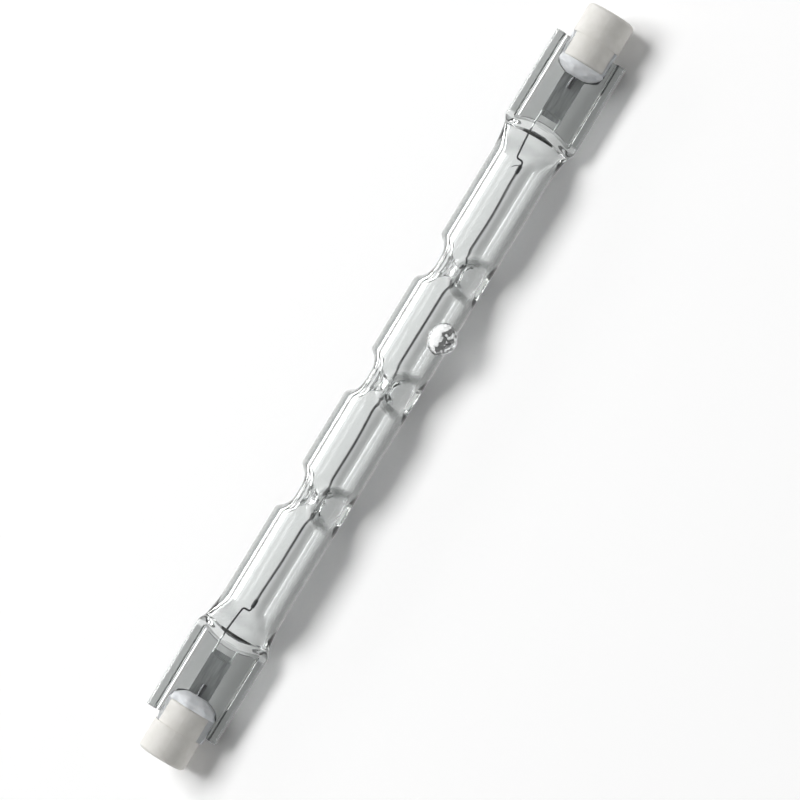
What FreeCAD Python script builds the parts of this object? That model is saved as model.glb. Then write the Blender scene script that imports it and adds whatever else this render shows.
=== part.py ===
import FreeCAD, Part
import math
import os

# A double-ended linear halogen lamp of the 118 mm class. A clear quartz tube carries a long coiled
# filament. Three crimps, each pressed in from three sides, keep the coil on the axis. Each end is a
# flat press seal with a rail along both edges. A sealing foil inside it joins the inner lead to the
# outer lead. A slotted ceramic cap is cemented over the end of the seal, and holds a metal contact at
# the bottom of a recess.
#
# The lamp is drawn about its own axis, X, with the seals flat in the XY plane. At the end it is rolled
# about X until it lies on the tube and on one rail of each seal, and set down on Z = 0.

V = FreeCAD.Vector
X_AXIS = V(1, 0, 0)
Z_AXIS = V(0, 0, 1)

# Lamp, measured from contact to contact, and how far the caps stand out past them
CONTACT_DISTANCE = 114.2
CONTACT_DEPTH = 1.7

# Quartz tube
TUBE_DIAMETER = 9.0
TUBE_WALL = 1.0

# Crimps
CRIMP_COUNT = 3
CRIMP_PITCH = 18.1
CRIMP_HALF_LENGTH = 3.7
CRIMP_HALF_FLAT = 0.5
CRIMP_WALL = 0.95
CRIMP_CLEARANCE = 0.34
CRIMP_SIDES = 3
CRIMP_INNER_SHARPNESS = 0.7

# Filament coil
COIL_DIAMETER = 0.44
COIL_END_TO_SEAL = 4.6

# Tip-off, where the exhaust tube was melted shut
TIP_STATION = 9.3
TIP_ANGLE = 133.5
TIP_BASE_RADIUS = 2.2
TIP_BULB_RADIUS = 1.95
TIP_HEIGHT = 2.3
TIP_ROOT_DEPTH = 0.6
TIP_BORE_RADIUS = 0.8
TIP_BORE_END_RADIUS = 0.15
TIP_CAP_THICKNESS = 1.3

# Press seals
SEAL_LENGTH = 13.7
SHOULDER_LENGTH = 5.1
BLADE_THICKNESS = 2.2
RAIL_HEIGHT = 3.8
RAIL_WIDTH = 1.35
RAIL_EDGE_RADIUS = 0.6
SEAL_CORNER_RADIUS = 1.3
POCKET_RADIUS = 0.4
SHOULDER_SIDE_STEP = 0.35
SHOULDER_FACE_STEP = 0.2
SHOULDER_OVERLAP = 1.0
NOSE_REACH = 1.1
NOSE_RADIUS = 8.9
NOSE_WALL = 0.7
CAVITY_SIDE_WALL = 1.25
CAVITY_END_GAP = 0.7

# Foils and leads
FOIL_WIDTH = 3.1
FOIL_LENGTH = 8.0
FOIL_THICKNESS = 0.04
FOIL_TO_CAVITY = 2.3
WELD_DEPTH = 0.02
OUTER_LEAD_DIAMETER = 0.65
OUTER_LEAD_ON_FOIL = 3.1
INNER_LEAD_DIAMETER = 0.25
INNER_LEAD_BEND = 0.35
INNER_LEAD_EDGE = 0.15
INNER_LEAD_ON_FOIL = 0.8
INNER_LEAD_RETURN = 2.4
INNER_LEAD_IN_COIL = 1.3
INNER_LEAD_STEP = 0.45
INNER_LEAD_SIDE = 1.05

# Ceramic caps
CAP_DIAMETER = 7.0
CAP_LENGTH = 7.9
CAP_EDGE = 0.3
CAP_SIDE_CLEARANCE = 0.6
SLOT_DEPTH = 3.5
SLOT_END_GAP = 1.1
CHEEK_STEP = 0.2
CHEEK_RADIUS = 0.4
RECESS_DIAMETER = 4.2
RECESS_EDGE = 0.2

# Cement
CEMENT_FACE_GAP = 0.4
CEMENT_EDGE = 0.35
CEMENT_DOME = 1.75

# Contacts
CONTACT_DIAMETER = 3.4
CONTACT_THICKNESS = 0.5
CONTACT_DISH_DIAMETER = 2.2
CONTACT_DISH_DEPTH = 0.15
SHANK_DIAMETER = 1.6
SHANK_LENGTH = 1.4

# Points round each cross-section of the tube, the play in joining its stretches, a cutter's overrun
RING_POINTS = 18
JOIN_TOLERANCE = 1e-3
PAST = 1.0

# Places along the axis, counted from the middle of the lamp
contact_face = CONTACT_DISTANCE / 2
half_length = contact_face + CONTACT_DEPTH
cap_inner_end = half_length - CAP_LENGTH
slot_floor = cap_inner_end + SLOT_DEPTH
seal_outer_end = slot_floor - SLOT_END_GAP
seal_inner_end = seal_outer_end - SEAL_LENGTH
tube_end = seal_inner_end - SHOULDER_LENGTH
nose_end = seal_inner_end + NOSE_REACH
cavity_end = nose_end - NOSE_WALL
foil_inner_end = cavity_end + FOIL_TO_CAVITY
foil_outer_end = foil_inner_end + FOIL_LENGTH
coil_end = seal_inner_end - COIL_END_TO_SEAL
crimp_stations = [(k - (CRIMP_COUNT - 1) / 2) * CRIMP_PITCH for k in range(CRIMP_COUNT)]

# Sizes across the axis
tube_radius = TUBE_DIAMETER / 2
bore_radius = tube_radius - TUBE_WALL
cap_radius = CAP_DIAMETER / 2
pocket_half_width = cap_radius + CAP_SIDE_CLEARANCE
seal_half_width = pocket_half_width + RAIL_WIDTH
rail_half_height = RAIL_HEIGHT / 2
blade_half = BLADE_THICKNESS / 2
slot_half = blade_half + CEMENT_FACE_GAP
crimp_inner_floor = COIL_DIAMETER / 2 + CRIMP_CLEARANCE
crimp_outer_floor = crimp_inner_floor + CRIMP_WALL
outer_lead_radius = OUTER_LEAD_DIAMETER / 2
inner_lead_radius = INNER_LEAD_DIAMETER / 2
foil_top = WELD_DEPTH - outer_lead_radius
inner_lead_height = foil_top + inner_lead_radius - WELD_DEPTH
inner_lead_reach = FOIL_WIDTH / 2 - INNER_LEAD_EDGE


def smooth(u):
    """Eases from 0 to 1 with level ends."""
    u = min(max(u, 0.0), 1.0)
    return u * u * (3 - 2 * u)


def axial_cylinder(radius, start, end):
    """A solid cylinder on the lamp's axis."""
    return Part.makeCylinder(radius, end - start, V(start, 0, 0), X_AXIS)


def box(x_range, y_range, z_range):
    """A box between pairs of lowest and highest coordinates."""
    lows, highs = zip(x_range, y_range, z_range)
    return Part.makeBox(*(high - low for low, high in zip(lows, highs)), V(*lows))


def turned(profile, start=V(0, 0, 0)):
    """A solid turned about the X axis from a closed list of (x, radius) corners."""
    corners = [start + V(x, 0, radius) for x, radius in profile]
    outline = Part.makePolygon(corners + corners[:1])
    return Part.Face(outline).revolve(start, X_AXIS, 360)


def bent_wire(points, bend, radius):
    """A round wire along straight runs joined by tangent bends."""
    edges = []
    here = points[0]
    for before, corner, after in zip(points, points[1:], points[2:]):
        back = (before - corner).normalize()
        ahead = (after - corner).normalize()
        turn = math.pi - back.getAngle(ahead)
        setback = bend * math.tan(turn / 2)
        middle = (back + ahead).normalize() * (bend / math.cos(turn / 2) - bend)
        bend_start = corner + back * setback
        bend_end = corner + ahead * setback
        edges.append(Part.LineSegment(here, bend_start).toShape())
        edges.append(Part.Arc(bend_start, corner + middle, bend_end).toShape())
        here = bend_end
    edges.append(Part.LineSegment(here, points[-1]).toShape())
    section = Part.Wire(Part.Circle(points[0], points[1] - points[0], radius).toShape())
    return Part.Wire(edges).makePipeShell([section], True, True)


def ring(station, outline):
    """A closed smooth wire across the axis, from a function that gives (y, z) at an angle."""
    angles = [2 * math.pi * k / RING_POINTS for k in range(RING_POINTS)]
    curve = Part.BSplineCurve()
    curve.interpolate([V(station, *outline(angle)) for angle in angles], PeriodicFlag=True)
    return Part.Wire(curve.toShape())


def crimp_outline(radius, floor, sharpness, share):
    """The cross-section of a crimp: a circle pressed in from every side, to a share of the full depth."""

    def outline(angle):
        press = (0.5 + 0.5 * math.cos(CRIMP_SIDES * angle)) ** sharpness
        pressed = radius - (radius - floor) * share * press
        return pressed * math.cos(angle), pressed * math.sin(angle)

    return outline


def oval_outline(half_width, half_height):
    """An ellipse, flat in the plane of the seals."""
    return lambda angle: (half_width * math.cos(angle), half_height * math.sin(angle))


def crimp_body(centre, radius, floor, sharpness):
    """One crimp of the tube, solid, between two round ends."""
    ramp = CRIMP_HALF_LENGTH - CRIMP_HALF_FLAT
    steps = [CRIMP_HALF_FLAT + ramp * u for u in (0.0, 0.33, 0.67, 1.0)]
    rings = []
    for offset in [-step for step in reversed(steps)] + steps:
        share = 1 - smooth((abs(offset) - CRIMP_HALF_FLAT) / ramp)
        rings.append(ring(centre + offset, crimp_outline(radius, floor, sharpness, share)))
    return Part.makeLoft(rings, True, False)


def shoulder_body(radius, half_width, half_height):
    """The stretch that flattens the round tube into a seal, solid, and runs on a little into the seal."""
    rings = []
    for u in (0.0, 0.33, 0.67, 1.0):
        width = radius + (half_width - radius) * u * u
        height = radius + (half_height - radius) * smooth(u)
        rings.append(ring(tube_end + SHOULDER_LENGTH * u, oval_outline(width, height)))
    rings.append(ring(seal_inner_end + SHOULDER_OVERLAP, oval_outline(half_width, half_height)))
    return Part.makeLoft(rings, True, False)


def tube_body(radius, floor, sharpness, half_width, half_height):
    """The tube with its crimps and both shoulders, as one solid of the given radius."""
    stops = [-tube_end]
    for centre in crimp_stations:
        stops += [centre - CRIMP_HALF_LENGTH, centre + CRIMP_HALF_LENGTH]
    stops.append(tube_end)
    pieces = [axial_cylinder(radius, start, stop) for start, stop in zip(stops[::2], stops[1::2])]
    pieces += [crimp_body(centre, radius, floor, sharpness) for centre in crimp_stations]
    shoulder = shoulder_body(radius, half_width, half_height)
    pieces += [shoulder, mirrored(shoulder)]
    return pieces[0].fuse(pieces[1:], JOIN_TOLERANCE)


def beyond_arch(reach, end, half_width, z_range):
    """A block from an arched line across the seal out to an end."""
    block = box((reach - 2 * NOSE_REACH, end), (-half_width, half_width), z_range)
    foot = V(reach - NOSE_RADIUS, 0, -2 * tube_radius)
    post = Part.makeCylinder(NOSE_RADIUS, 4 * tube_radius, foot, Z_AXIS)
    return block.cut(post)


def seal_slab():
    """The pressed end before its two faces are hollowed, rounded along its rails and inner corners."""
    width = (-seal_half_width, seal_half_width)
    height = (-rail_half_height, rail_half_height)
    slab = box((seal_inner_end, seal_outer_end), width, height)
    inner_end = [e for e in slab.Edges if e.CenterOfMass.x < seal_inner_end + PAST]
    upright = [e for e in inner_end if abs(e.tangentAt(0).z) > 0.9]
    slab = slab.makeFillet(SEAL_CORNER_RADIUS, upright)
    lengthwise = [e for e in slab.Edges if e.BoundBox.XLength > SEAL_LENGTH / 2]
    outside = [e for e in lengthwise if abs(e.CenterOfMass.y) > cap_radius]
    return slab.makeFillet(RAIL_EDGE_RADIUS, outside)


def seal_pockets():
    """The two hollows that leave a thin blade between the rails of a seal."""
    height = (blade_half, 2 * rail_half_height)
    pocket = beyond_arch(nose_end, seal_outer_end + PAST, pocket_half_width, height)
    floor_edges = [e for e in pocket.Edges if e.BoundBox.ZMax < blade_half + 0.01]
    floor_edges = [e for e in floor_edges if e.CenterOfMass.x < seal_outer_end]
    pocket = pocket.makeFillet(POCKET_RADIUS, floor_edges)
    return [pocket, pocket.mirror(V(0, 0, 0), Z_AXIS)]


def radial(solid):
    """Turns a solid drawn along the X axis to stand out of the tube at the tip-off."""
    solid.rotate(V(0, 0, 0), V(0, 1, 0), -90)
    solid.rotate(V(0, 0, 0), X_AXIS, TIP_ANGLE - 90)
    solid.translate(V(TIP_STATION, 0, 0))
    return solid


def tip_off():
    """The nipple left where the exhaust tube was melted shut: a sloping root and a rounded top."""
    top = tube_radius + TIP_HEIGHT
    root = tube_radius - TIP_ROOT_DEPTH
    middle = top - TIP_BULB_RADIUS
    base_edge = V(root, 0, TIP_BASE_RADIUS)
    bulb_edge = V(middle, 0, TIP_BULB_RADIUS)
    halfway = V(middle, 0, 0) + V(1, 0, 1).normalize() * TIP_BULB_RADIUS
    outline = [
        Part.LineSegment(V(root, 0, 0), base_edge).toShape(),
        Part.LineSegment(base_edge, bulb_edge).toShape(),
        Part.Arc(bulb_edge, halfway, V(top, 0, 0)).toShape(),
        Part.LineSegment(V(top, 0, 0), V(root, 0, 0)).toShape(),
    ]
    return radial(Part.Face(Part.Wire(outline)).revolve(V(0, 0, 0), X_AXIS, 360))


def tip_bore():
    """The closed end of the exhaust passage inside the tip-off."""
    start = bore_radius - TIP_ROOT_DEPTH
    end = tube_radius + TIP_HEIGHT - TIP_CAP_THICKNESS
    cone = Part.makeCone(TIP_BORE_RADIUS, TIP_BORE_END_RADIUS, end - start, V(start, 0, 0), X_AXIS)
    return radial(cone)


def envelope(embedded):
    """The quartz piece, hollow, with room for the metal that is sealed into it."""
    outer_width = seal_half_width - SHOULDER_SIDE_STEP
    outer_height = rail_half_height - SHOULDER_FACE_STEP
    body = tube_body(tube_radius, crimp_outer_floor, 1.0, outer_width, outer_height)
    slab = seal_slab()
    pockets = seal_pockets()
    glass = body.fuse([slab, mirrored(slab), tip_off()])
    glass = glass.cut(pockets + [mirrored(pocket) for pocket in pockets])
    inner_width = seal_half_width - CAVITY_SIDE_WALL
    inner_height = CAVITY_END_GAP / 2
    cavity = tube_body(bore_radius, crimp_inner_floor, CRIMP_INNER_SHARPNESS, inner_width, inner_height)
    height = (-tube_radius, tube_radius)
    closed_end = beyond_arch(cavity_end, seal_outer_end, seal_half_width, height)
    cavity = cavity.cut([closed_end, mirrored(closed_end)])
    return glass.cut([cavity, tip_bore()]).cut(embedded)


def mirrored(solid):
    """The same piece at the other end of the lamp."""
    return solid.mirror(V(0, 0, 0), X_AXIS)


def foil():
    """The sealing foil, a thin strip inside the blade."""
    half = FOIL_WIDTH / 2
    height = (foil_top - FOIL_THICKNESS, foil_top)
    return box((foil_inner_end, foil_outer_end), (-half, half), height)


def inner_lead():
    """The wire from inside the coil's end to a hook that is welded flat on the foil's inner end."""
    step = coil_end + INNER_LEAD_STEP
    weld = foil_inner_end + INNER_LEAD_ON_FOIL
    path = [
        V(coil_end - INNER_LEAD_IN_COIL, 0, 0),
        V(step, 0, 0),
        V(step, INNER_LEAD_SIDE, 0),
        V(cavity_end, inner_lead_reach, inner_lead_height),
        V(weld, inner_lead_reach, inner_lead_height),
        V(weld, -inner_lead_reach, inner_lead_height),
        V(weld - INNER_LEAD_RETURN, -inner_lead_reach, inner_lead_height),
    ]
    return bent_wire(path, INNER_LEAD_BEND, inner_lead_radius)


def outer_lead():
    """The straight wire from the foil to the bottom of the contact's dish."""
    start = foil_outer_end - OUTER_LEAD_ON_FOIL
    return axial_cylinder(outer_lead_radius, start, contact_face - CONTACT_DISH_DEPTH)


def cap():
    """The ceramic cap: slotted over the seal, stepped at its outer end for the contact."""
    seat = contact_face - CONTACT_THICKNESS
    body = axial_cylinder(cap_radius, slot_floor, half_length)
    rim = [e for e in body.Edges if e.BoundBox.XMin > half_length - 0.01]
    body = body.makeChamfer(CAP_EDGE, rim)
    body = body.fuse(axial_cylinder(cap_radius - CHEEK_STEP, cap_inner_end, slot_floor))
    width = (-CAP_DIAMETER, CAP_DIAMETER)
    slot = box((cap_inner_end - PAST, slot_floor), width, (-slot_half, slot_half))
    body = body.cut(slot)
    cheek_ends = [e for e in body.Edges if e.BoundBox.XMax < cap_inner_end + 0.01]
    arched = [e for e in cheek_ends if e.BoundBox.ZLength > 0.01]
    body = body.makeFillet(CHEEK_RADIUS, arched)
    recess = axial_cylinder(RECESS_DIAMETER / 2, contact_face, half_length + PAST)
    mouth = Part.makeCone(
        RECESS_DIAMETER / 2,
        RECESS_DIAMETER / 2 + RECESS_EDGE + PAST,
        RECESS_EDGE + PAST,
        V(half_length - RECESS_EDGE, 0, 0),
        X_AXIS,
    )
    return body.cut(
        [
            recess,
            mouth,
            axial_cylinder(CONTACT_DIAMETER / 2, seat, contact_face),
            axial_cylinder(SHANK_DIAMETER / 2, seat - SHANK_LENGTH, seat),
            axial_cylinder(outer_lead_radius, slot_floor - PAST, seat),
        ]
    )


def contact(lead):
    """The end contact: a flat head with a shallow dish, and a shank that grips the outer lead."""
    seat = contact_face - CONTACT_THICKNESS
    dish_floor = contact_face - CONTACT_DISH_DEPTH
    profile = [
        (seat - SHANK_LENGTH, 0),
        (seat - SHANK_LENGTH, SHANK_DIAMETER / 2),
        (seat, SHANK_DIAMETER / 2),
        (seat, CONTACT_DIAMETER / 2),
        (contact_face, CONTACT_DIAMETER / 2),
        (contact_face, CONTACT_DISH_DIAMETER / 2),
        (dish_floor, CONTACT_DISH_DIAMETER / 2 - CONTACT_DISH_DEPTH),
        (dish_floor, 0),
    ]
    return turned(profile).cut(lead)


def cement(others):
    """The cement that fills the slot round the seal and stands out of it in a dome."""
    radius = cap_radius - CEMENT_EDGE
    apex = cap_inner_end - CEMENT_DOME
    middle = cap_inner_end - CEMENT_DOME + radius - math.sqrt(radius**2 - (radius * 0.7) ** 2)
    dome_end = V(cap_inner_end + PAST, 0, radius)
    outline = [
        Part.Arc(V(apex, 0, 0), V(middle, 0, radius * 0.7), dome_end).toShape(),
        Part.LineSegment(dome_end, V(slot_floor, 0, radius)).toShape(),
        Part.LineSegment(V(slot_floor, 0, radius), V(slot_floor, 0, 0)).toShape(),
        Part.LineSegment(V(slot_floor, 0, 0), V(apex, 0, 0)).toShape(),
    ]
    fill = Part.Face(Part.Wire(outline)).revolve(V(0, 0, 0), X_AXIS, 360)
    return fill.cut(others)


# Pieces of the right-hand end
foil_right = foil()
inner_lead_right = inner_lead().cut(foil_right)
outer_lead_right = outer_lead().cut(foil_right)
cap_right = cap()
contact_right = contact(outer_lead_right)

# The quartz piece, sealed round the metal of both ends
sealed_in = [foil_right, inner_lead_right, outer_lead_right]
quartz = envelope(sealed_in + [mirrored(piece) for piece in sealed_in])
cement_right = cement([quartz, cap_right, outer_lead_right, foil_right])

# The coil, with the inner leads' tips inside its ends
coil = axial_cylinder(COIL_DIAMETER / 2, -coil_end, coil_end)
coil = coil.cut([inner_lead_right, mirrored(inner_lead_right)])

pieces = {"quartz_envelope": quartz, "filament": coil}
ends = {
    "inner_lead": inner_lead_right,
    "foil": foil_right,
    "outer_lead": outer_lead_right,
    "cap": cap_right,
    "cement": cement_right,
    "contact": contact_right,
}
for name, piece in ends.items():
    pieces[name + "_right"] = piece
    pieces[name + "_left"] = mirrored(piece)

# Roll at which the lamp rests on the tube and on the rounded corner of one rail
corner_y = seal_half_width - RAIL_EDGE_RADIUS
corner_z = rail_half_height - RAIL_EDGE_RADIUS
lean = math.asin((tube_radius - RAIL_EDGE_RADIUS) / math.hypot(corner_y, corner_z))
roll = lean - math.atan2(corner_z, corner_y)

# Set down on Z = 0, with the origin under the middle of the lamp's outline
os.makedirs("parts", exist_ok=True)
for piece in pieces.values():
    piece.rotate(V(0, 0, 0), X_AXIS, math.degrees(roll))
    piece.translate(V(0, 0, tube_radius))
outline = pieces["quartz_envelope"].optimalBoundingBox(False, False)
for name, piece in pieces.items():
    piece.translate(V(0, -outline.Center.y, 0))
    piece.exportStep("parts/" + name + ".step")
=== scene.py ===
import math

import bpy
from mathutils import Matrix, Vector, noise


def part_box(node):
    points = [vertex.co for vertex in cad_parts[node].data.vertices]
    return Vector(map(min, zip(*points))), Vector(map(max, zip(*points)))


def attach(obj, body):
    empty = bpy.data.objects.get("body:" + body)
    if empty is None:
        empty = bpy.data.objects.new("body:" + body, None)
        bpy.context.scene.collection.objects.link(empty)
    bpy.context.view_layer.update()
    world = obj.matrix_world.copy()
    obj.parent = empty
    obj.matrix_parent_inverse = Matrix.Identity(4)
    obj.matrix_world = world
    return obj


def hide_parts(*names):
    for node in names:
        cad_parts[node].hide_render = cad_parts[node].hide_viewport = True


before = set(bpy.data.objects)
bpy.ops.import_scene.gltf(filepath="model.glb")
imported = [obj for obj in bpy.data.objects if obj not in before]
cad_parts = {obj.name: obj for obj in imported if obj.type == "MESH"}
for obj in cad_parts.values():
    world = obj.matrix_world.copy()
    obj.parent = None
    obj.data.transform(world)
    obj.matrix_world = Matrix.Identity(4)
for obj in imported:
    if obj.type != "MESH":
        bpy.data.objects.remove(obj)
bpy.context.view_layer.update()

# Filament.
# One long coil of thin drawn tungsten wire, wound on a mandrel and hung along the axis of the tube.
# Its ends are bound with close turns on the tips of the inner leads, and it sags between the crimps.
low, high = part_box("filament")
axis_y = (low[1] + high[1]) / 2
axis_z = (low[2] + high[2]) / 2
coil_half_length = high[0] * 1000
coil_radius = 0.175
coil_wire_radius = 0.042
coil_pitch = 0.16
coil_turn_steps = 10
binding_radius = 0.25
binding_wire_radius = 0.055
binding_pitch = 0.13
binding_turn_steps = 14
binding_length = 1.1
binding_inset = 0.1
wire_sides = 6
tail_radius = 0.06
tail_sides = 8
tail_lift = 0.1
tail_bends = ((0, 0, 0), (-0.15, 0.35, 0.05), (-0.6, 0.75, 0.05))

# The lamp lies on its tube and on one rail of each seal, which rolls it about its axis.
tube_radius = 4.5
seal_half_width = 5.45
rail_half_height = 1.9
rail_edge_radius = 0.6
corner_y = seal_half_width - rail_edge_radius
corner_z = rail_half_height - rail_edge_radius
lean_angle = math.asin((tube_radius - rail_edge_radius) / math.hypot(corner_y, corner_z))
roll = lean_angle - math.atan2(corner_z, corner_y)
lamp_place = Matrix.Translation((0, axis_y, axis_z)) @ Matrix.Rotation(roll, 4, "X") @ Matrix.Scale(0.001, 4)
crease_angle = math.radians(42)


def make_piece(name, points, faces, materials, finishes=None):
    """A smooth piece from points in millimetres about the lamp's own axis."""
    mesh = bpy.data.meshes.new(name)
    mesh.from_pydata([lamp_place @ Vector(p) for p in points], [], faces)
    mesh.polygons.foreach_set("use_smooth", [True] * len(mesh.polygons))
    for material in materials:
        mesh.materials.append(material)
    if finishes:
        mesh.polygons.foreach_set("material_index", finishes)
    mesh.update()
    mesh.set_sharp_from_angle(angle=crease_angle)
    piece = bpy.data.objects.new(name, mesh)
    bpy.context.scene.collection.objects.link(piece)
    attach(piece, "root")
    return piece


def add_wire(points, faces, centres, radius, sides):
    """Adds a round wire that follows a list of centres."""
    first = len(points)
    across = None
    for i, centre in enumerate(centres):
        ahead = (centres[min(i + 1, len(centres) - 1)] - centres[max(i - 1, 0)]).normalized()
        if across is None:
            across = ahead.orthogonal().normalized()
        across = (across - ahead * across.dot(ahead)).normalized()
        other = ahead.cross(across)
        for k in range(sides):
            turn = 2 * math.pi * k / sides
            points.append(centre + (across * math.cos(turn) + other * math.sin(turn)) * radius)
    for i in range(len(centres) - 1):
        for k in range(sides):
            a = first + i * sides + k
            b = first + i * sides + (k + 1) % sides
            faces.append((a, b, b + sides, a + sides))
    last = first + (len(centres) - 1) * sides
    faces.append(tuple(reversed(range(first, first + sides))))
    faces.append(tuple(range(last, last + sides)))


def ease(u):
    """Rises from 0 to 1 with level ends."""
    u = min(max(u, 0.0), 1.0)
    return u * u * (3 - 2 * u)


# Places along the lamp, and how far the coil hangs to the side there.
coil_bows = (
    (-36, 0), (-33, 0), (-27, -0.2), (-18, -0.22), (-9, -0.3),
    (0, 0.1), (18, 0), (27, -0.2), (33, 0), (36, 0),
)


def coil_middle(x):
    """Where the middle of the coil hangs at a place along the lamp."""
    for (x0, y0), (x1, y1) in zip(coil_bows, coil_bows[1:]):
        if x0 <= x <= x1:
            return Vector((x, y0 + (y1 - y0) * ease((x - x0) / (x1 - x0)), 0))


def helix(start, end, radius, pitch, steps):
    """Centres of a wire wound round the coil's middle line."""
    turns = abs(end - start) / pitch
    count = int(turns * steps)
    centres = []
    for i in range(count + 1):
        angle = 2 * math.pi * turns * i / count
        middle = coil_middle(start + (end - start) * i / count)
        centres.append(middle + Vector((0, radius * math.cos(angle), radius * math.sin(angle))))
    return centres


def new_finish(name):
    """A new material, with its nodes and links."""
    material = bpy.data.materials.new(name)
    material.use_nodes = True
    return material, material.node_tree.nodes, material.node_tree.links


def along_grain(nodes, links, grain):
    """The places on a piece, stretched along the way it was drawn or rolled."""
    stretch = nodes.new("ShaderNodeMapping")
    stretch.inputs["Scale"].default_value = grain
    links.new(nodes.new("ShaderNodeTexCoord").outputs["Object"], stretch.inputs["Vector"])
    return stretch.outputs["Vector"]


def speckle(nodes, links, place, scale, detail):
    """Speckles over the places on a piece, from 0 to 1."""
    spots = nodes.new("ShaderNodeTexNoise")
    spots.inputs["Scale"].default_value = scale
    spots.inputs["Detail"].default_value = detail
    links.new(place, spots.inputs["Vector"])
    return spots.outputs["Fac"]


def tint_by(nodes, links, spots, spread, dark, light):
    """Tints a surface from dark to light by its speckles."""
    tint = nodes.new("ShaderNodeValToRGB")
    for stop, position, colour in zip(tint.color_ramp.elements, spread, (dark, light)):
        stop.position = position
        stop.color = colour
    links.new(spots, tint.inputs["Fac"])
    links.new(tint.outputs["Color"], nodes["Principled BSDF"].inputs["Base Color"])


def raise_by(nodes, links, spots, strength, depth):
    """Raises a fine relief on a surface by its speckles."""
    relief = nodes.new("ShaderNodeBump")
    relief.inputs["Strength"].default_value = strength
    relief.inputs["Distance"].default_value = depth
    links.new(spots, relief.inputs["Height"])
    links.new(relief.outputs["Normal"], nodes["Principled BSDF"].inputs["Normal"])


def grade(nodes, links, value, start, end, low=0.0, high=1.0):
    """A node that grades a value, from low at its start to high at its end."""
    graded = nodes.new("ShaderNodeMapRange")
    for socket, number in (("From Min", start), ("From Max", end), ("To Min", low), ("To Max", high)):
        graded.inputs[socket].default_value = number
    links.new(value, graded.inputs["Value"])
    return graded


# How a metal's colour, roughness and relief vary along its grain.
darkest, lightest = 0.75, 1.2
smoothest, roughest = -0.1, 0.15
metal_spread = (0.3, 0.7)
metal_detail = 6.0
metal_relief = 0.00005


def metal(name, colour, roughness, grain, bump):
    """A metal whose colour and roughness vary along a drawn or rolled grain."""
    material, nodes, links = new_finish(name)
    shader = nodes["Principled BSDF"]
    shader.inputs["Metallic"].default_value = 1.0
    spots = speckle(nodes, links, along_grain(nodes, links, grain), 1.0, metal_detail)
    dark = [c * darkest for c in colour] + [1]
    light = [min(c * lightest, 1) for c in colour] + [1]
    tint_by(nodes, links, spots, metal_spread, dark, light)
    uneven = grade(nodes, links, spots, 0.0, 1.0, roughness + smoothest, roughness + roughest)
    links.new(uneven.outputs["Result"], shader.inputs["Roughness"])
    raise_by(nodes, links, spots, bump, metal_relief)
    return material


tungsten = metal("drawn_tungsten", colour=(0.09, 0.09, 0.095), roughness=0.45, grain=(9000, 9000, 9000), bump=0.15)
points, faces = [], []
turns = helix(-coil_half_length, coil_half_length, coil_radius, coil_pitch, coil_turn_steps)
add_wire(points, faces, turns, coil_wire_radius, wire_sides)
for end in (-1, 1):
    outer = end * (coil_half_length - binding_inset)
    binding = helix(outer, outer - end * binding_length, binding_radius, binding_pitch, binding_turn_steps)
    add_wire(points, faces, binding, binding_wire_radius, wire_sides)
tail_root = Vector((coil_half_length - 2 * binding_inset, binding_radius, tail_lift))
tail = [tail_root + Vector(bend) for bend in tail_bends]
add_wire(points, faces, tail, tail_radius, tail_sides)
coil = make_piece("filament_coil", points, faces, [tungsten])
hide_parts("filament")

# Inner leads.
# Thin round wires, bent cold. A tip inside the coil's end carries it, and a hook at the other end lies
# welded on the sealing foil, where the pressed quartz keeps the wire bright.
bright_from = 0.0400
bright_full = 0.0404
bright_colour = (0.9, 0.92, 0.92, 1)


def feed(links, value, socket):
    """Gives a socket its value: another socket's, or a plain number or colour."""
    if isinstance(value, bpy.types.NodeSocket):
        links.new(value, socket)
    else:
        socket.default_value = value


def reckon(nodes, links, operation, *values):
    """The result of a sum on sockets and plain numbers."""
    worked = nodes.new("ShaderNodeMath")
    worked.operation = operation
    for value, socket in zip(values, worked.inputs):
        feed(links, value, socket)
    return worked.outputs[0]


def between(nodes, links, kind, share, start, end):
    """A colour or number, a share of the way between two others."""
    mix = nodes.new("ShaderNodeMix")
    mix.data_type = kind
    for value, socket in ((share, "Factor"), (start, "A"), (end, "B")):
        feed(links, value, mix.inputs[socket])
    return mix.outputs["Result"]


def cover_pair(kind, material):
    """Gives the CAD nodes of a kind at both ends their finished material."""
    for side in ("right", "left"):
        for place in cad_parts[kind + "_" + side].material_slots:
            place.material = material


lead_wire = metal("lead_wire", colour=(0.10, 0.10, 0.105), roughness=0.4, grain=(3000, 9000, 9000), bump=0.1)
nodes, links = lead_wire.node_tree.nodes, lead_wire.node_tree.links
split = nodes.new("ShaderNodeSeparateXYZ")
links.new(nodes.new("ShaderNodeTexCoord").outputs["Object"], split.inputs["Vector"])
outward = reckon(nodes, links, "ABSOLUTE", split.outputs["X"])
sealed = grade(nodes, links, outward, bright_from, bright_full)
lead_colour = nodes["Principled BSDF"].inputs["Base Color"]
dull = lead_colour.links[0].from_socket
links.new(between(nodes, links, "RGBA", sealed.outputs["Result"], dull, bright_colour), lead_colour)
cover_pair("inner_lead", lead_wire)

# Sealing foils and outer leads.
# Etched molybdenum strips, thin enough to stretch with the quartz, and the stout wires welded to their outer ends.
foil_metal = metal("etched_molybdenum", colour=(0.78, 0.795, 0.80), roughness=0.6, grain=(400, 4000, 4000), bump=0.4)
outer_lead_metal = metal(
    "drawn_molybdenum", colour=(0.22, 0.22, 0.23), roughness=0.3, grain=(900, 9000, 9000), bump=0.2
)
cover_pair("foil", foil_metal)
cover_pair("outer_lead", outer_lead_metal)

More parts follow.
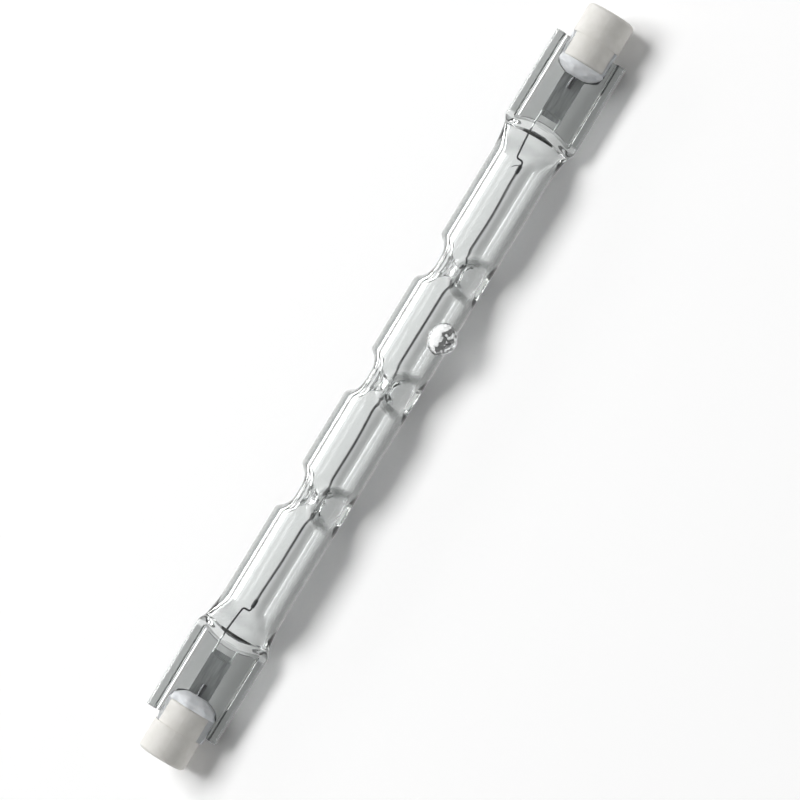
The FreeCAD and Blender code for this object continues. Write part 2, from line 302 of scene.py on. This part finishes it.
# Quartz envelope.
# One piece of clear fused quartz tube, flame-worked: pressed in from three sides at each crimp, flattened between
# jaws into a seal at each end, pumped through a side tube and melted shut there.
bore_radius = 3.5
tube_end = 34.5
seal_inner_end = 39.6
seal_outer_end = 53.3
shoulder_length = seal_inner_end - tube_end
crimp_places = (-18.1, 0.0, 18.1)
crimp_half_length = 3.7
crimp_half_flat = 0.5
crimp_outer_floor = 1.51
crimp_inner_floor = 0.56
crimp_outer_sharpness = 1.0
crimp_inner_sharpness = 0.7
crimp_outer_lumps = 0.26
crimp_inner_lumps = 0.08
crimp_lump_scale = 1.3
shoulder_side_step = 0.35
shoulder_face_step = 0.2
squaring_lead = 0.8
squaring_run = 1.2
cavity_side_wall = 1.25
cavity_end_half_height = 0.35
cavity_thinning = 0.9
pocket_half_width = 4.1
pocket_edge = 0.3
pocket_side_run = 0.55
pocket_nose_run = 0.7
blade_half = 1.1
nose_radius = 8.9
nose_end = seal_inner_end + 1.1
cavity_end = nose_end - 0.7
tip_place = 9.3
tip_angle = math.radians(133.5)
tip_stub_height = 1.95
tip_stub_radius = 2.25
tip_stub_roundness = 0.7
tip_point_height = 0.33
tip_point_radius = 0.55
tip_melt_height = 0.3
tip_melt_radius = 1.7
tip_finish_radius = 2.2
tip_reach = 4

# Each wave of the melted tip-off: its share, its scale along and round the tube, and its seed.
tip_melt_waves = ((1, 1.15, 5.2, 4.0), (0.6, 2.6, 11.7, 9.0), (0.3, 4.5, 20, 2.0))


def crimp_share(x):
    """How far a crimp is pressed in at a place along the lamp, from 0 to 1."""
    reach = min(abs(x - place) for place in crimp_places)
    return 1 - ease((reach - crimp_half_flat) / (crimp_half_length - crimp_half_flat))


def pressed_ring(x, count, radius, floor, sharpness, lumps):
    """Radius and angle of each point of a round section that is pressed in from three sides."""
    share = crimp_share(x)
    ring = []
    for k in range(count):
        angle = 2 * math.pi * k / count
        press = (0.5 + 0.5 * math.cos(3 * angle)) ** sharpness
        here = radius - (radius - floor) * share * press
        if share > 0:
            y, z = here * math.cos(angle), here * math.sin(angle)
            spot = Vector((x * crimp_lump_scale, y * crimp_lump_scale, z * crimp_lump_scale))
            here += lumps * noise.noise(spot) * share * press
        ring.append((here, angle))
    return ring


def tip_away(x, angle):
    """How far a place on the tube is from the middle of the tip-off."""
    around = (angle - tip_angle + math.pi) % (2 * math.pi) - math.pi
    return math.hypot(x - tip_place, around * tube_radius)


def tip_swell(x, angle):
    """How far the melted tip-off lifts the outside of the tube: a rounded stub with a drawn-out point."""
    away = tip_away(x, angle)
    if away > tip_reach:
        return 0.0
    stub = tip_stub_height * max(1 - (away / tip_stub_radius) ** 2, 0.0) ** tip_stub_roundness
    point = tip_point_height * math.exp(-((away / tip_point_radius) ** 2))
    melt = 0.0
    for share, along, around, seed in tip_melt_waves:
        melt += share * noise.noise(Vector((x * along, angle * around, seed)))
    return stub + point + tip_melt_height * melt * math.exp(-((away / tip_melt_radius) ** 4))


def quarter_slab(q):
    """A point on a quarter of the seal's rounded outline, at a share of the way round it."""
    bend = rail_edge_radius * math.pi / 2
    way = q * (corner_z + bend + corner_y)
    if way <= corner_z:
        return seal_half_width, way
    if way <= corner_z + bend:
        turn = (way - corner_z) / rail_edge_radius
        return corner_y + rail_edge_radius * math.cos(turn), corner_z + rail_edge_radius * math.sin(turn)
    return corner_y - (way - corner_z - bend), rail_half_height


def around_quarters(k, count, quarter):
    """Carries a quarter outline round all four quarters."""
    part = 4 * k / count
    number, q = int(part) % 4, part - int(part)
    if number % 2:
        q = 1 - q
    y, z = quarter(q)
    return (y if number in (0, 3) else -y), (z if number in (0, 1) else -z)


def arch(y, end):
    """The arched line across a seal where its flat begins."""
    return end - nose_radius + math.sqrt(max(nose_radius**2 - y * y, 0.0))


def outer_ring(x, count):
    """A section of the quartz's outside."""
    if abs(x) <= tube_end:
        ring = []
        pressed_in = pressed_ring(x, count, tube_radius, crimp_outer_floor, crimp_outer_sharpness, crimp_outer_lumps)
        for here, angle in pressed_in:
            here += tip_swell(x, angle)
            ring.append(Vector((x, here * math.cos(angle), here * math.sin(angle))))
        return ring
    u = min((abs(x) - tube_end) / shoulder_length, 1.0)
    width = tube_radius + (seal_half_width - shoulder_side_step - tube_radius) * u * u
    height = tube_radius + (rail_half_height - shoulder_face_step - tube_radius) * ease(u)
    squared = ease((abs(x) - seal_inner_end + squaring_lead) / squaring_run)

    def quarter_oval(q):
        return width * math.cos(q * math.pi / 2), height * math.sin(q * math.pi / 2)

    ring = []
    for k in range(count):
        y0, z0 = around_quarters(k, count, quarter_oval)
        y1, z1 = around_quarters(k, count, quarter_slab)
        y = y0 + (y1 - y0) * squared
        z = z0 + (z1 - z0) * squared
        press = ease((abs(x) - arch(y, nose_end)) / pocket_nose_run)
        press *= ease((pocket_half_width + pocket_edge - abs(y)) / pocket_side_run)
        z -= math.copysign(max(abs(z) - blade_half, 0.0), z) * press
        ring.append(Vector((x, y, z)))
    return ring


def inner_ring(x, count):
    """A section of the hollow inside the quartz."""
    if abs(x) <= tube_end:
        ring = []
        pressed_in = pressed_ring(x, count, bore_radius, crimp_inner_floor, crimp_inner_sharpness, crimp_inner_lumps)
        for here, angle in pressed_in:
            ring.append(Vector((x, here * math.cos(angle), here * math.sin(angle))))
        return ring
    u = min((abs(x) - tube_end) / shoulder_length, 1.0)
    thin = 1 - cavity_thinning * ease((abs(x) - seal_inner_end) / (cavity_end - seal_inner_end))
    width = bore_radius + (seal_half_width - cavity_side_wall - bore_radius) * u * u
    height = (bore_radius + (cavity_end_half_height - bore_radius) * ease(u)) * thin
    ring = []
    for k in range(count):
        angle = 2 * math.pi * k / count
        y, z = width * math.cos(angle), height * math.sin(angle)
        ring.append(Vector((math.copysign(min(abs(x), arch(y, cavity_end)), x), y, z)))
    return ring


# How many sections each form of the quartz has, and how close they come.
tube_steps = 14
shoulder_steps = 24
crimp_steps = 22
tip_steps = 24
tip_step = 0.11
least_step = 0.04


def places_along(end, extra):
    """Places along the lamp, close together where the quartz changes shape."""
    places = {tube_end * k / tube_steps for k in range(tube_steps + 1)} | {end}
    places |= {tube_end + shoulder_length * k / shoulder_steps for k in range(shoulder_steps + 1)} | set(extra)
    places |= {-p for p in places}
    for place in crimp_places:
        places |= {place + crimp_half_length * (k / crimp_steps) for k in range(-crimp_steps, crimp_steps + 1)}
    places |= {tip_place + tip_step * k for k in range(-tip_steps, tip_steps + 1)}
    kept = []
    for p in sorted(p for p in places if abs(p) <= end):
        if not kept or p - kept[-1] > least_step:
            kept.append(p)
    kept[-1] = end
    return kept


def skin(rings, count, inward):
    """Faces between rings of points, and across both ends."""
    faces = []
    for i in range(len(rings) - 1):
        for k in range(count):
            a, b = i * count + k, i * count + (k + 1) % count
            faces.append((a, b, b + count, a + count))
    faces.append(tuple(reversed(range(count))))
    faces.append(tuple(range((len(rings) - 1) * count, len(rings) * count)))
    return [tuple(reversed(f)) for f in faces] if inward else faces


outer_count = 168
inner_count = 120
seal_fine_step = 0.1
seal_fine_steps = 24
seal_fine_end = seal_inner_end + 2.4
seal_coarse_step = 1.3
seal_coarse_steps = 9
cavity_step = 0.05
cavity_steps = 9
seal_places = [seal_inner_end + seal_fine_step * k for k in range(seal_fine_steps)]
seal_places += [seal_fine_end + seal_coarse_step * k for k in range(seal_coarse_steps)]
outer_rings = [outer_ring(x, outer_count) for x in places_along(seal_outer_end, seal_places)]
cavity_places = [cavity_end - cavity_step * k for k in range(cavity_steps)]
inner_rings = [inner_ring(x, inner_count) for x in places_along(cavity_end, cavity_places)]
points = [p for ring in outer_rings for p in ring]
faces = skin(outer_rings, outer_count, False)
outer_faces = len(faces)
first = len(points)
points += [p for ring in inner_rings for p in ring]
faces += [tuple(first + k for k in f) for f in skin(inner_rings, inner_count, True)]

quartz_ior = 1.458
quartz_shadow = (0.2, 0.2, 0.2, 1)
quartz_detail = 2.0
quartz_relief = 0.0001


def glass(name, colour, roughness, grain, bump):
    """Fused quartz that lets part of the light through in its shadow."""
    material, nodes, links = new_finish(name)
    shader = nodes["Principled BSDF"]
    shader.inputs["Base Color"].default_value = colour
    shader.inputs["IOR"].default_value = quartz_ior
    shader.inputs["Transmission Weight"].default_value = 1.0
    shader.inputs["Roughness"].default_value = roughness
    wave = speckle(nodes, links, along_grain(nodes, links, grain), 1.0, quartz_detail)
    raise_by(nodes, links, wave, bump, quartz_relief)
    path = nodes.new("ShaderNodeLightPath")
    through = nodes.new("ShaderNodeBsdfTransparent")
    through.inputs["Color"].default_value = quartz_shadow
    shade = nodes.new("ShaderNodeMixShader")
    links.new(path.outputs["Is Shadow Ray"], shade.inputs["Fac"])
    links.new(shader.outputs["BSDF"], shade.inputs[1])
    links.new(through.outputs["BSDF"], shade.inputs[2])
    links.new(shade.outputs["Shader"], nodes["Material Output"].inputs["Surface"])
    return material


# The grey tint of the quartz's outside is painted shade, standing for the shade seen through the tube; the quartz
# itself is clear.
face_painted_shade = (0.50, 0.512, 0.508, 1)
outline_painted_shade = (0.16, 0.168, 0.164, 1)
inside_tint = (0.99, 0.995, 0.995, 1)
# The darker grey of the pressed flats is painted shade as well.
pressed_painted_shade = (0.27, 0.28, 0.276, 1)
melted_tint = (0.97, 0.98, 0.98, 1)
melted_clearness = 0.75
drawn_grain = (12, 900, 900)
clear = glass("clear_quartz", face_painted_shade, roughness=0.0, grain=drawn_grain, bump=0.03)
inside = glass("clear_quartz_inside", inside_tint, roughness=0.0, grain=drawn_grain, bump=0.03)
pressed = glass("pressed_quartz", pressed_painted_shade, roughness=0.0, grain=(200, 200, 200), bump=0.05)

# Where it was melted shut, the quartz is a little cloudy.
melted = glass("melted_quartz", melted_tint, roughness=0.06, grain=(1300, 1300, 1300), bump=0.8)
melted.node_tree.nodes["Principled BSDF"].inputs["Transmission Weight"].default_value = melted_clearness

# Toward its outline the quartz is painted darker, by how squarely it is seen: painted shade that draws its dark
# outline, where the way through the wall is also longest.
outline_shade_from = 0.17
outline_shade_to = 0.42
nodes, links = clear.node_tree.nodes, clear.node_tree.links
facing = nodes.new("ShaderNodeLayerWeight").outputs["Facing"]
depth = grade(nodes, links, facing, outline_shade_from, outline_shade_to)
depth.interpolation_type = "SMOOTHSTEP"
wall = between(nodes, links, "RGBA", depth.outputs["Result"], face_painted_shade, outline_painted_shade)
links.new(wall, nodes["Principled BSDF"].inputs["Base Color"])

quartz_finishes = [clear, inside, pressed, melted]
finishes = []
for i, face in enumerate(faces):
    x, y, z = points[face[0]]
    finish = clear
    if i >= outer_faces:
        finish = inside
    elif tip_away(x, math.atan2(z, y)) < tip_finish_radius:
        finish = melted
    # The seal's flats take the pressed quartz, whose dark tint is painted shade.
    elif all(abs(points[k].x) > nose_end for k in face):
        finish = pressed
    finishes.append(quartz_finishes.index(finish))
envelope = make_piece("quartz_tube", points, faces, quartz_finishes, finishes)
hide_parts("quartz_envelope")

# Ceramic caps.
# Pressed and fired steatite, unglazed and matt, with a slot that straddles the seal and a stepped recess in the end.


def mineral(name, roughness, gloss, mottle, spread, dark, light, grain, bump, depth):
    """A matt mineral surface with a mottled colour and a fine grain, each given by its scale and detail."""
    material, nodes, links = new_finish(name)
    shader = nodes["Principled BSDF"]
    shader.inputs["Roughness"].default_value = roughness
    shader.inputs["Specular IOR Level"].default_value = gloss
    place = nodes.new("ShaderNodeTexCoord").outputs["Object"]
    tint_by(nodes, links, speckle(nodes, links, place, *mottle), spread, dark, light)
    raise_by(nodes, links, speckle(nodes, links, place, *grain), bump, depth)
    return material


ceramic = mineral(
    "fired_steatite",
    roughness=0.7,
    gloss=0.25,
    mottle=(700, 5),
    spread=(0.35, 0.65),
    dark=(0.80, 0.785, 0.74, 1),
    light=(0.86, 0.845, 0.805, 1),
    grain=(6000, 3),
    bump=0.25,
    depth=0.00003,
)
cover_pair("cap", ceramic)

# Cement.
# White mineral cement, pressed wet into the slot round the seal and squeezed out in a lumpy dome over both faces.
cement = mineral(
    "set_cement",
    roughness=0.8,
    gloss=0.2,
    mottle=(900, 6),
    spread=(0.3, 0.7),
    dark=(0.84, 0.87, 0.90, 1),
    light=(0.93, 0.945, 0.96, 1),
    grain=(900, 6),
    bump=0.6,
    depth=0.0001,
)
cap_inner_end = 50.9
slot_floor = 54.4
slot_half = 1.5
slot_clearance = 0.02
slot_places = [slot_floor - 0.05, 53.4, 52.4, 51.5, cap_inner_end, cap_inner_end - 0.02]
cement_radius = 3.35
cement_reach = 2.1
cement_fall = 2.2
cement_crown = 1.2
cement_steps = 24
cement_crowding = 0.8
cement_round_steps = 28
lump_scale_along = 0.9
lump_scale_round = 2

# Each size of lump on the cement: its height, as a share of the radius, and its scale.
cement_lumps = ((0.1, 1), (0.07, 2.7))


def cement_ring(x, end, face, bulge):
    """A section of the cement on one face of the seal, from the blade out to its lumpy skin."""
    u = min(max((cap_inner_end - x) / cement_reach, 0.0), 1.0)
    radius = cement_radius * math.sqrt(max(1 - u**cement_fall, 0.0))
    ring = []
    seed = 5 * end + 2 * face
    for k in range(cement_round_steps + 1):
        angle = math.pi * k / cement_round_steps
        y, z = lump_scale_round * math.cos(angle), lump_scale_round * math.sin(angle)
        spot = Vector((x * lump_scale_along, y, seed + z))
        lumps = 0.0
        for height, scale in cement_lumps:
            lumps += height * noise.noise(spot * scale)
        here = radius * (1 + lumps + bulge * max(-math.cos(angle), 0.0) * (1 - u))
        z = blade_half + max(here - blade_half, 0.0) * math.sin(angle) ** cement_crown
        if x >= cap_inner_end:
            z = min(z, slot_half - slot_clearance)
        ring.append(Vector((end * x, here * math.cos(angle), face * z)))
    for k in range(cement_round_steps - 1, 0, -1):
        ring.append(Vector((end * x, ring[k].y, face * blade_half)))
    return ring


for side, end, bulge in (("right", 1, 0.0), ("left", -1, 0.12)):
    points, faces = [], []
    for face in (1, -1):
        places = list(slot_places)
        for k in range(1, cement_steps - 1):
            places.append(cap_inner_end - cement_reach * (k / cement_steps) ** cement_crowding)
        rings = [cement_ring(x, end, face, bulge) for x in places]
        count = len(rings[0])
        first = len(points)
        points += [p for ring in rings for p in ring]
        faces += [tuple(first + k for k in f) for f in skin(rings, count, end * face > 0)]
    lump = make_piece("cement_lump_" + side, points, faces, [cement])
    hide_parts("cement_" + side)

# End contacts.
# Turned nickel-plated heads with a shallow dish, pressed into the caps and welded to the outer leads.
contact_metal = metal("nickel_plate", colour=(0.62, 0.60, 0.56), roughness=0.35, grain=(2500, 2500, 2500), bump=0.2)
cover_pair("contact", contact_metal)

# Floor, light and camera.
# A plain white table under a broad soft light from the left, seen square to the flat of the seals.
# Bright cards that show only in gloss and through glass give the tube its long white streaks.
table_size = 6
table_lift = 0.08
table_lift_in_glass = 0.6
room_light = 0.19
horizon_low = 0.06
horizon_high = 0.22
overhead_light = 0.2
light_distance = 2.3


def in_glass(nodes, links, path):
    """1 for what shows in gloss and through glass, and otherwise 0."""
    return reckon(nodes, links, "MAXIMUM", path["Is Glossy Ray"], path["Is Transmission Ray"])


def unscattered(nodes, links, path):
    """1 for light that no matt surface has scattered, and otherwise 0."""
    return reckon(nodes, links, "LESS_THAN", path["Diffuse Depth"], 0.5)


bpy.ops.mesh.primitive_plane_add(size=table_size, location=(0, 0, 0))
floor = bpy.context.object
floor.name = "table"
white, nodes, links = new_finish("white_table")
shader = nodes["Principled BSDF"]
shader.inputs["Base Color"].default_value = (0.97, 0.97, 0.97, 1)
shader.inputs["Roughness"].default_value = 0.9
shader.inputs["Emission Color"].default_value = (1, 1, 1, 1)
path = nodes.new("ShaderNodeLightPath").outputs
lift = reckon(nodes, links, "MULTIPLY", in_glass(nodes, links, path), table_lift_in_glass)
seen = reckon(nodes, links, "MULTIPLY_ADD", path["Is Camera Ray"], table_lift, lift)
links.new(seen, shader.inputs["Emission Strength"])
floor.data.materials.append(white)

world = bpy.data.worlds.new("studio")
bpy.context.scene.world = world
world.use_nodes = True
nodes, links = world.node_tree.nodes, world.node_tree.links
background = nodes["Background"]
background.inputs["Color"].default_value = (1, 1, 1, 1)
path = nodes.new("ShaderNodeLightPath").outputs
split = nodes.new("ShaderNodeSeparateXYZ")
links.new(nodes.new("ShaderNodeTexCoord").outputs["Generated"], split.inputs["Vector"])
overhead = grade(nodes, links, split.outputs["Z"], horizon_low, horizon_high, 1.0, overhead_light)
shown = reckon(nodes, links, "MULTIPLY", in_glass(nodes, links, path), unscattered(nodes, links, path))
room = between(nodes, links, "FLOAT", shown, room_light, overhead.outputs["Result"])
level = between(nodes, links, "FLOAT", path["Is Camera Ray"], room, 1.0)
links.new(level, background.inputs["Strength"])


def window(name, width, height, elevation, energy):
    """A soft light that faces the lamp, at so many degrees up from the table on the left."""
    elevation = math.radians(elevation)
    data = bpy.data.lights.new(name, "AREA")
    data.shape = "RECTANGLE"
    data.size = width
    data.size_y = height
    data.energy = energy
    lit = bpy.data.objects.new(name, data)
    lit.location = (0.0, light_distance * math.cos(elevation), light_distance * math.sin(elevation))
    lit.rotation_euler = (Vector((0, 0, 0)) - lit.location).to_track_quat("-Z", "Y").to_euler()
    bpy.context.scene.collection.objects.link(lit)
    return lit


def card(name, width, height, elevation, energy):
    """A bright card that shows only in gloss and through glass."""
    lit = window(name, width, height, elevation, energy)
    lit.visible_diffuse = False
    lit.visible_camera = False
    lit.data.use_nodes = True
    nodes, links = lit.data.node_tree.nodes, lit.data.node_tree.links
    path = nodes.new("ShaderNodeLightPath").outputs
    links.new(unscattered(nodes, links, path), nodes["Emission"].inputs["Strength"])


key = window("window", width=1.6, height=1.2, elevation=60, energy=48)
key.data.cycles.use_multiple_importance_sampling = False
card("window_card", width=2.0, height=0.77, elevation=50.5, energy=48)
card("low_card", width=2.0, height=0.44, elevation=23.5, energy=80)
card("right_card", width=2.0, height=0.2, elevation=177, energy=13)

# The camera stands square to the seals, with the lamp leaning across the picture.
lean = math.radians(31.3)
turned = Matrix.Rotation(roll, 3, "X")
along, across, toward = (turned @ Vector(v) for v in ((1, 0, 0), (0, 1, 0), (0, 0, 1)))
image_right = along * math.sin(lean) - across * math.cos(lean)
image_up = along * math.cos(lean) + across * math.sin(lean)
picture_pixels = 800
pixels_per_mm = 7.39
pixel = 0.001 / pixels_per_mm
off_centre = 13.4 * pixel
aim = Vector((0, axis_y, axis_z)) + image_right * off_centre - image_up * off_centre
distance = 0.6
sensor = 36
camera_data = bpy.data.cameras.new("camera")
camera_data.sensor_width = sensor
camera_data.lens = sensor * distance / (picture_pixels * pixel)
camera_data.clip_start = 0.01
camera = bpy.data.objects.new("camera", camera_data)
camera.matrix_world = Matrix(
    (
        (image_right.x, image_up.x, toward.x, aim.x + toward.x * distance),
        (image_right.y, image_up.y, toward.y, aim.y + toward.y * distance),
        (image_right.z, image_up.z, toward.z, aim.z + toward.z * distance),
        (0, 0, 0, 1),
    )
)
bpy.context.scene.collection.objects.link(camera)
bpy.context.scene.camera = camera
bpy.context.scene.view_settings.view_transform = "Standard"
